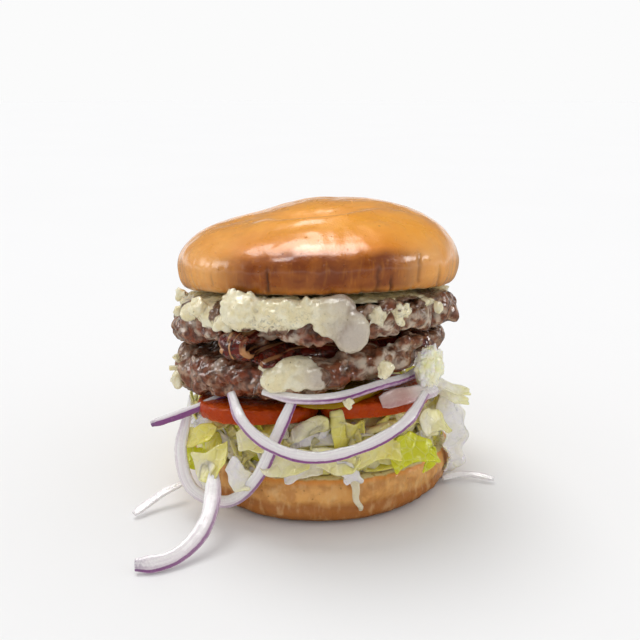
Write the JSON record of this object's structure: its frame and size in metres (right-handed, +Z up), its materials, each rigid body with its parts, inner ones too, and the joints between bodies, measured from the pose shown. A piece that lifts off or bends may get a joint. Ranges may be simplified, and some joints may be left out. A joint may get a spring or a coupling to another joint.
{
  "type": "bacon burger",
  "caption": "Tall bacon burger: glossy soft bun round stacked beef patties, bacon, melted blue cheese, tomato, pickle, shredded lettuce and hanging red onion rings.",
  "frame": {"origin": "centre of the heel's flat underside, on the surface that the burger stands on", "axes": "+Z up, -Y towards the front of the burger, where the onion rings hang out, +X to its right as seen from the front"},
  "size_m": [0.1413, 0.1416, 0.1124],
  "materials": {
    "bun_crown": "glossy egg-washed crust, golden orange-brown",
    "bun_heel": "soft matt crust, tan with browner underside",
    "beef": "wet coarse mince, grey-brown with red-brown seared spots",
    "blue_cheese": "soft melted cream with grey-blue specks",
    "bacon": "glossy dark red-brown with a tan fat edge",
    "tomato": "wet red-orange flesh",
    "pickle": "wet olive green",
    "red_onion": "wet translucent white with a purple skin edge",
    "lettuce": "pale yellow-green crisp leaf"
  },
  "bodies": {
    "root": {"heel_bun": "bun_heel", "crown_bun": "bun_crown", "beef_patty_lower": "beef", "beef_patty_upper": "beef", "blue_cheese_upper": "blue_cheese", "blue_cheese_lower": "blue_cheese", "blue_cheese_lower_back": "blue_cheese", "blue_cheese_crumb_right": "blue_cheese", "blue_cheese_crumb_left": "blue_cheese", "bacon_rasher_fold": "bacon", "bacon_rasher_front": "bacon", "bacon_rasher_back": "bacon", "tomato_slice_left": "tomato", "tomato_slice_right": "tomato", "tomato_slice_back": "tomato", "pickle_slice_front": "pickle", "pickle_slice_back": "pickle", "onion_arc_front": "red_onion", "onion_loop_left": "red_onion", "onion_strip_hanging": "red_onion", "onion_strip_left": "red_onion", "onion_ring_top": "red_onion", "onion_slab_right": "red_onion", "onion_arc_back": "red_onion", "onion_strip_floor_left": "red_onion", "onion_strip_floor_right": "red_onion", "lettuce_heap": "lettuce", "lettuce_leaf_right": "lettuce", "lettuce_frill": "lettuce", "lettuce_shred_upper": "lettuce", "lettuce_shred_lower": "lettuce"}
  },
  "joints": []
}
